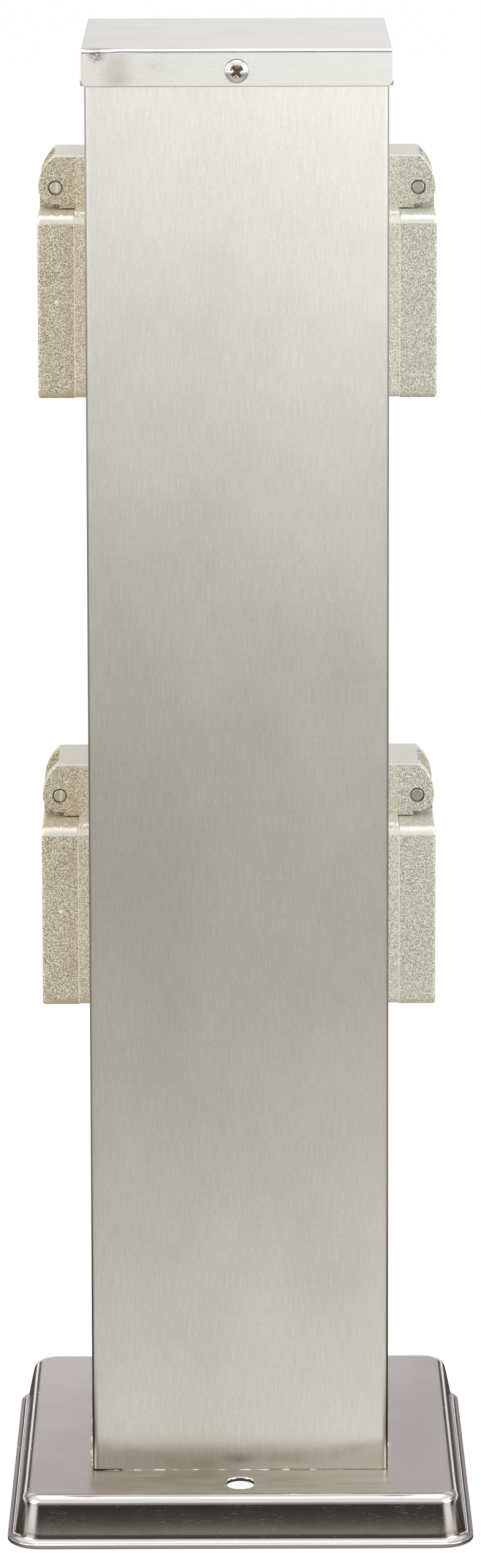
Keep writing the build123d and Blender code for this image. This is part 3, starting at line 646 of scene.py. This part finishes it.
for site, outward in sockets.items():
    low, high = box_mm(f"{site}_hinge_spring")
    pin_low, pin_high = box_mm(f"{site}_hinge_pin")
    pin = (pin_low + pin_high) / 2
    coil_radius = high[2] - spring_wire / 2 - pin[2]
    half = (high[1] - low[1] - spring_wire) / 2
    coil_length = 2 * half - spring_wire - spring_play
    turns = np.linspace(0, 2 * math.pi * spring_turns, int(spring_turns * turn_steps))
    angle = math.pi / 2 - outward * turns
    coil = np.stack([
        pin[0] + coil_radius * np.cos(angle),
        pin[1] + outward * (half - coil_length * turns / turns[-1]),
        pin[2] + coil_radius * np.sin(angle),
    ], -1)
    wall = low[0] if outward > 0 else high[0]
    leg_end = [wall + outward * leg_clear, coil[0, 1], coil[0, 2]]
    leg = np.linspace(leg_end, coil[0], leg_steps, endpoint=False)
    rings = tube_along(np.vstack([leg, coil]), spring_wire / 2)
    piece = closed_tube(f"{site}_spring_coil", rings, sprung, "post")
    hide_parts(f"{site}_hinge_spring")
    top = np.array([pin[0] + outward * coil_radius, pin[1] - outward * half, pin[2] + leg_start])
    down = np.linspace(top, [top[0], top[1], low[2] + leg_clear], leg_steps)
    rings = tube_along(down, spring_wire / 2)
    closed_tube(f"{site}_spring_leg", rings, sprung, f"{site}_cover")

# Lid rims
# A thin bead on the lid's back edge meets the flange, so the parting line reads light: its pale
# colour is a painted highlight.

rim_play = 0.03
rim_depth = 0.6
rim_thickness = 0.25
rim_corner = 0.08  # of half the rim's width

# A painted highlight: a pale colour for the rim beads and the gate stubs.
highlight_finish, place = start_finish("rim_highlight")
rub = place.noise(0.6, 3.0)
highlight_colour = rub.blend((0.80, 0.78, 0.71), (0.96, 0.95, 0.90))
set_finish(highlight_finish, Base_Color=highlight_colour, Roughness=0.35 + rub * 0.1, Normal=rub.bump(0.01))


def rim_bead(site, outward):
    """A rounded rectangle of four-sided section in the gap between flange and lid."""
    low, high = box_mm(f"{site}_lid")
    gasket_top = box_mm(f"{site}_gasket")[1][2]
    seal_low, seal_high = box_mm(f"{site}_lid_seal")
    flange_face = seal_low[0] if outward > 0 else seal_high[0]
    half_y, low_z, top_z = (high[1] - low[1]) / 2, low[2], gasket_top - rim_depth
    middle = (high[1] + low[1]) / 2
    outline = rounded_square(1.0, rim_corner, 0.0, 4, 5)
    corners = ((0.0, rim_thickness), (0.0, rim_play), (rim_depth, rim_play), (rim_depth, rim_thickness))
    rings = []
    for inward, back_by in corners:
        y = middle + outline[:, 0] * (half_y - inward)
        z = (low_z + top_z) / 2 + outline[:, 1] * ((top_z - low_z) / 2 - inward)
        rings.append(np.stack(np.broadcast_arrays(flange_face - outward * back_by, y, z), -1))
    points = np.stack(rings, 1).reshape(-1, 3)
    faces = grid_faces(len(outline) + 1, 4, closed=True) % len(points)
    if outward > 0:
        faces = faces[:, ::-1]
    make_piece(f"{site}_rim_bead", points, faces, highlight_finish, f"{site}_cover", False)


for site, outward in sockets.items():
    rim_bead(site, outward)

# Moulding marks
# Each lid was cut from its runner at the middle of one side, which left a small stub, coloured
# with the same painted highlight.

stub_half = 0.6
stub_height = 0.34
stub_root = 0.05
stub_inward = 0.4  # from the middle of the lid's thickness towards the column
stub_place = 0.53  # of the way up the lid's face
stub_steps = 20
lid_face_height = 49.3

for site, outward in sockets.items():
    low, high = box_mm(f"{site}_lid")
    side_face = high[1] if outward > 0 else low[1]
    centre = np.array([(low[0] + high[0]) / 2 - outward * stub_inward, side_face,
        low[2] + stub_place * lid_face_height])
    turns = np.linspace(0, 2 * math.pi, stub_steps, endpoint=False)[None, :, None]
    rise = np.linspace(0, math.pi / 2, 7)[:, None, None]
    random = np.random.default_rng(len(site))
    rough = 1 + 0.25 * random.uniform(-1, 1, (1, stub_steps, 1))
    round_it = np.cos(turns) * [1.0, 0, 0] + np.sin(turns) * [0, 0, 0.85 * outward]
    out_of_it = outward * (stub_height * np.sin(rise) - stub_root) * np.array([0, 1.0, 0])
    dome = centre + stub_half * rough * np.cos(rise * 0.98) * round_it + out_of_it
    closed_tube(f"{site}_gate_mark", dome[:, ::-1], highlight_finish, f"{site}_cover")

# Cap
# Stainless sheet cut as a cross and folded: a top and four skirts. The front and back skirts
# cover the ends of the side ones, and a small gap shows at each corner. Handling dented it.

cap_sheet = 0.8
cap_bend = 0.9
cap_flap_corner = 2.0
cap_columns = 221
cap_crowding = 0.92  # below 1 the columns stand closer towards the sides
cap_rows = 61
cap_skirt_rows = 26
cap_bend_steps = 7
stain_at = (-0.0367, -0.0385, 0.3985)
dish_at = (-0.0315, -0.0385, 0.3940)

# Bells on the front skirt: x, drop below the top, and width along x, y and z.
skirt_dish, skirt_dish_depth = (-31.0, 5.0, 5.0, 3.0, 4.5), 0.20
right_dent, right_dent_depth = (24.0, 9.0, 14.0, 3.0, 5.0), 0.05
rippled, ripple_height = (-21.5, 4.6, 3.6, 2.0, 2.1), 0.030
corner_curl, corner_curl_drop = (-37.5, 0.0, 3.2, 2.0, 1.6), 0.35
edge_nick, edge_nick_drop = (-33.5, 0.0, 2.0, 1.6, 1.2), 0.12

satin, place = start_finish("cap_stainless")
across, deep, up = place.parts()
fine = place.noise((3.0, 0.2, 0.2))
cloud = place.noise(14.0, 3.0)
stain = place.distance(stain_at).step(0.0030, 0.0006) * place.noise(0.7).step(0.3, 0.55)
# The dish's dent is also painted darker: a painted shade.
dish_shade = place.distance(dish_at).step(0.0062, 0.0010) * (cloud.step(0.30, 0.60) * 0.4 + 0.6)
dish_shade = dish_shade * deep.step(-0.0375, -0.0382)
# Lighter towards the right: a painted sheen over the cloudy tone.
painted_sheen_and_cloud = (fine * 0.12 + cloud * 0.88 + across * 5.0).step(0.1, 0.9)
satin_colour = painted_sheen_and_cloud.blend((0.86, 0.855, 0.83), (1.0, 1.0, 0.985))
satin_colour = (stain * 0.9).blend(satin_colour, (0.33, 0.30, 0.24))
satin_colour = (dish_shade * 0.55).blend(satin_colour, (0.62, 0.60, 0.50))
set_finish(satin, Base_Color=satin_colour, Metallic=1.0, Roughness=0.22 + fine * 0.05 + cloud * 0.05,
    Normal=(fine * 0.05 + cloud * 0.95).bump(0.02))


def cap_dents(points):
    """Pushes points in along y and down along z by bell curves. The ripples are a sine along a
    slant inside one more bell."""
    x, y, z = points.T
    front, top = cap_low[1], cap_high[2]

    def bell(at, drop, wide, thick, tall):
        """Exp of minus the squared distance over the width, summed over the three axes."""
        return np.exp(-((x - at) / wide) ** 2 - ((y - front) / thick) ** 2 - ((z - (top - drop)) / tall) ** 2)

    near_front = np.exp(-(y - front) ** 2)
    dents = bell(*skirt_dish) * skirt_dish_depth + bell(*right_dent) * right_dent_depth
    slant = ((x + 21) * 0.75 + (z - top + 5)) * 3.4
    ripple = np.sin(slant) * bell(*rippled) * ripple_height
    curl = bell(*corner_curl) * corner_curl_drop
    y = y + near_front * (dents + ripple)
    z = z - curl - bell(*edge_nick) * edge_nick_drop  # on the skirt as it is after the dents
    return np.stack([x, y, z], -1)


def folded_side(low, high, bend, rows):
    """The outer line of a skirt: down its bend from the top, then straight to its edge."""
    turns = np.linspace(0, math.pi / 2, cap_bend_steps)
    arc = np.stack([bend * np.sin(turns), high - bend + bend * np.cos(turns)], -1)
    drop = np.stack([np.full(rows, bend), np.linspace(high - bend, low, rows + 1)[1:]], -1)
    return np.vstack([arc, drop])


def cap_skin():
    """The cap's outer face: one grid from the front skirt's edge over the top to the back
    skirt's edge, closer towards its sides, and a grid for each side skirt that begins on the
    top's edge. Each skirt's lower corners are rounded by a quarter circle."""
    inner_low, inner_high = cap_low + cap_bend, cap_high - cap_bend
    even = np.linspace(-1, 1, cap_columns)
    share = np.sign(even) * np.abs(even) ** cap_crowding
    y_top = np.linspace(inner_low[1], inner_high[1], cap_rows)
    fold = folded_side(cap_low[2], cap_high[2], cap_bend, cap_skirt_rows)
    reach, full = inner_high[0], cap_high[0]
    half = np.where(fold[:, 0] < cap_bend, reach + cap_bend * (fold[:, 0] / cap_bend) ** 3, full)
    left_over = cap_flap_corner - np.clip(fold[:, 1] - cap_low[2], 0, cap_flap_corner)
    half = half - (cap_flap_corner - np.sqrt(cap_flap_corner ** 2 - left_over ** 2))

    def row(half_width, y, z):
        """One row of the grid, from left to right at one depth and height."""
        return np.stack(np.broadcast_arrays(share * half_width, y, z), -1)

    rows = [row(w, inner_low[1] - out, z) for (out, z), w in zip(fold[::-1], half[::-1])]
    rows += [row(reach, y, cap_high[2]) for y in y_top[1:-1]]
    rows += [row(w, inner_high[1] + out, z) for (out, z), w in zip(fold, half)]
    points = [np.concatenate(rows)]
    faces = [grid_faces(len(rows), cap_columns)]
    first_top = len(fold) - 1
    count = len(points[0])
    y_middle = (inner_low[1] + inner_high[1]) / 2
    narrowing = ((full - half[1:]) * (fold[1:, 0] >= cap_bend))[:, None]
    y_flap = y_middle + (y_top - y_middle)[None, :] * (1 - narrowing / (y_top[-1] - y_middle))
    for side, column in ((-1, 0), (1, cap_columns - 1)):
        shared = (first_top + np.arange(cap_rows)) * cap_columns + column
        flap = np.stack(np.broadcast_arrays(side * (reach + fold[1:, :1]), y_flap, fold[1:, 1:]), -1)
        index = np.vstack([shared, count + np.arange((len(fold) - 1) * cap_rows).reshape(-1, cap_rows)])
        a, b, c, d = index[:-1, :-1], index[:-1, 1:], index[1:, 1:], index[1:, :-1]
        quads = np.stack([d, c, b, a] if side > 0 else [b, c, d, a], -1).reshape(-1, 4)
        faces.append(quads)
        points.append(flap.reshape(-1, 3))
        count += flap.shape[0] * flap.shape[1]
    points = cap_dents(np.concatenate(points))
    piece = make_piece("cap_skin", points, np.concatenate(faces), satin, "post")
    thick = piece.modifiers.new("sheet", "SOLIDIFY")
    thick.thickness, thick.offset = cap_sheet * mm, -1.0
    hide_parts("cap")


cap_skin()

# Cap screws
# Plated pan-head screws, one in front and one at the back, each with a cross recess.

spokes = 144
head_rings = 70
recess_turn = math.radians(37.0)
recess_reach = 1.75
recess_half = 0.45
recess_middle = 0.80  # half the width of the square where the arms meet
recess_depth = 1.3
recess_lip = 0.10


def screw_shape():
    """A turned outline of head and shank, and a cross sunk into the head by a smooth step."""
    turns = np.linspace(0, 2 * math.pi, spokes, endpoint=False)
    share = np.linspace(0.004, 1, head_rings)
    shank = np.array([[3.1, 0.0], [2.1, 0.0], [1.95, 0.0], [1.95, -3.0], [1.95, -8.5], [1.6, -9.0],
        [0.01, -9.0]])
    radius = np.r_[head_radius * share, shank[:, 0]]
    height = np.r_[head_height * (1 - share ** 2.7) ** (1 / 2.3), shank[:, 1]]
    u = radius[:, None] * np.cos(turns - recess_turn)
    v = radius[:, None] * np.sin(turns - recess_turn)
    arm = np.minimum(np.maximum(np.abs(u) - recess_reach, np.abs(v) - recess_half),
        np.maximum(np.abs(v) - recess_reach, np.abs(u) - recess_half))
    diamond = (np.abs(u) + np.abs(v)) / math.sqrt(2) - recess_middle
    inside = np.clip(-np.minimum(arm, diamond) / recess_lip + 0.25, 0, 1)
    inside = inside * inside * (3 - 2 * inside)
    depth = recess_depth * (1 - 0.55 * np.clip(np.hypot(u, v) / recess_reach, 0, 1))
    in_head = np.arange(len(radius))[:, None] < head_rings
    z = height[:, None] - np.where(in_head, inside * depth, 0)
    return np.stack([radius[:, None] * np.cos(turns), radius[:, None] * np.sin(turns), z], -1)


def cap_screw(name, seat, facing):
    """The screw's shape laid along y, facing outward, its head's underside on the seat."""
    shape = screw_shape()
    rings = np.stack([
        cap_screws_middle[0] - facing * shape[..., 0],
        seat + facing * shape[..., 2],
        cap_screws_middle[2] + shape[..., 1],
    ], -1)
    return closed_tube(name, rings[:, ::-1], plated, "post")


front_screw = cap_screw("front_cap_screw", cap_low[1], -1)
cap_screw("back_cap_screw", cap_high[1], 1)
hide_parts("cap_screws")

# Floor
# A pale floor, white to the camera but for the object's soft shadow. What metal sees of it is
# brighter near the post and far away than between them, as in a studio with a white sweep.

floor_reach = 30.0
floor_drop = 0.0002
ramp_reach = 9.0
floor_light = [
    (0.0, (0.74, 0.72, 0.66)), (0.16, (0.69, 0.665, 0.60)), (0.50, (0.51, 0.485, 0.43)),
    (0.80, (0.375, 0.355, 0.305)), (1.22, (0.46, 0.44, 0.40)), (1.80, (0.60, 0.59, 0.555)),
    (2.70, (1.05, 1.04, 1.01)), (3.60, (1.38, 1.375, 1.34)), (6.0, (1.55, 1.54, 1.51)),
    (9.0, (1.55, 1.54, 1.51))]  # metres from the post, and what metal sees there

floor_mesh = bpy.data.meshes.new("floor")
corners = [(x * floor_reach, y * floor_reach, -floor_drop) for x, y in ((-1, -1), (1, -1), (1, 1), (-1, 1))]
floor_mesh.from_pydata(corners, [], [(0, 1, 2, 3)])
floor = bpy.data.objects.new("floor", floor_mesh)
bpy.context.scene.collection.objects.link(floor)
floor_finish, place = start_finish("floor")
floor_mesh.materials.append(floor_finish)
away = place.distance((0.0, 0.0, 0.0))
stops = [(distance / ramp_reach, colour) for distance, colour in floor_light]
seen = away.node("ShaderNodeValToRGB", {"stops": stops}, {0: away / ramp_reach})
# Close to the post and behind its front edge, the floor is dark to what mirrors it.
behind = place.parts()[1].step(-0.075, -0.055) * away.step(0.45, 0.20)
seen = (behind * 0.94).blend(seen, (0.03, 0.028, 0.026))
camera_ray = place.node("ShaderNodeLightPath", out="Is Camera Ray")
glossy_ray = place.node("ShaderNodeLightPath", out="Is Glossy Ray")
glow = place.node("ShaderNodeEmission", Color=camera_ray.blend(seen, (1.05, 1.05, 1.05)), Strength=1.0)
cloth = place.node("ShaderNodeBsdfDiffuse", Color=(0.80, 0.80, 0.80, 1.0))
mixed = place.node("ShaderNodeMixShader", None, {0: camera_ray * 0.90 + glossy_ray, 1: cloth, 2: glow})
tree = floor_finish.node_tree
tree.links.new(mixed.socket, tree.nodes["Material Output"].inputs["Surface"])

# Light
# White surroundings for the camera, a soft gradient for metal, and three large soft lamps.

world = bpy.data.worlds.new("studio")
world.use_nodes = True
bpy.context.scene.world = world
tree = world.node_tree
direction = Field(tree).node("ShaderNodeTexCoord", out="Generated")
across, deep, up = direction.parts()
sky = up.node("ShaderNodeValToRGB", {"stops": [
    (0.0, (1.0, 1.0, 0.98)), (0.15, (0.95, 0.95, 0.95)), (0.24, (0.50, 0.465, 0.46)),
    (0.30, (0.36, 0.33, 0.325)), (0.46, (0.34, 0.31, 0.305)), (0.64, (0.97, 0.96, 0.95)),
    (1.0, (1.0, 1.0, 0.99))]}, {0: up})
# Metal sees a dark band low in front, with a bright window on each side of it, and two smaller
# dark bands low behind the post.
beside = abs(across)
low_band = up.step(0.12, 0.17) * up.step(0.34, 0.28)
dark_side = beside.step(0.10, 0.16) * beside.step(0.36, 0.30) * low_band * deep.step(0.5, 0.8)
window = beside.step(0.45, 0.72) * deep.step(-0.20, -0.45)
dark_front = deep.step(0.30, 0.05) * up.step(-0.05, -0.01) * up.step(0.34, 0.20) * (1 - window)
sky = dark_side.blend(sky, (0.06, 0.055, 0.05))
sky = dark_front.blend(sky, (0.045, 0.04, 0.035))
camera_ray = direction.node("ShaderNodeLightPath", out="Is Camera Ray")
glossy_ray = direction.node("ShaderNodeLightPath", out="Is Glossy Ray")
ambient = glossy_ray.blend((0.62, 0.62, 0.62), sky)
background = camera_ray.blend(ambient, (1.0, 1.0, 1.0))
tree.links.new(background.socket, tree.nodes["Background"].inputs["Color"])


def soft_lamp(name, place, target, size, power, colour):
    """A square area lamp turned towards a point."""
    lamp = bpy.data.lights.new(name, "AREA")
    lamp.size, lamp.energy, lamp.color = size, power, colour
    thing = bpy.data.objects.new(name, lamp)
    bpy.context.scene.collection.objects.link(thing)
    thing.location = place
    thing.rotation_euler = (Vector(target) - Vector(place)).to_track_quat("-Z", "Y").to_euler()


post_middle = (0.0, 0.0, 0.2)
soft_lamp("left_lamp", (-1.3, -0.7, 0.9), post_middle, 0.9, 10.0, (1.0, 0.92, 0.78))
soft_lamp("right_lamp", (1.3, -0.7, 0.9), post_middle, 0.9, 12.5, (0.97, 1.0, 0.94))
soft_lamp("top_lamp", (0.0, 0.3, 1.7), post_middle, 1.2, 10.0, (1.0, 1.0, 1.0))

# Camera
# It stands 1.5 metres in front of the post, above its top, and looks down by 8 degrees. The
# photograph's is nearly level and shifted more. Other views keep the shift set here, and with
# a larger one the post would leave their frame.

camera_at = (-0.00140, -1.54219, 0.55822)
camera_yaw, camera_pitch, camera_roll = -0.001514, -0.142454, -0.002551
camera_data = bpy.data.cameras.new("camera")
camera_data.sensor_width = 36.0
camera_data.lens = 132.74
camera_data.shift_y = -0.330
camera_data.clip_start = 0.05
camera = bpy.data.objects.new("camera", camera_data)
bpy.context.scene.collection.objects.link(camera)
turn = Matrix.Rotation(camera_yaw, 4, "Z") @ Matrix.Rotation(math.pi / 2 + camera_pitch, 4, "X")
camera.matrix_world = Matrix.Translation(camera_at) @ turn @ Matrix.Rotation(camera_roll, 4, "Z")
bpy.context.scene.camera = camera
bpy.context.scene.view_settings.view_transform = "Standard"
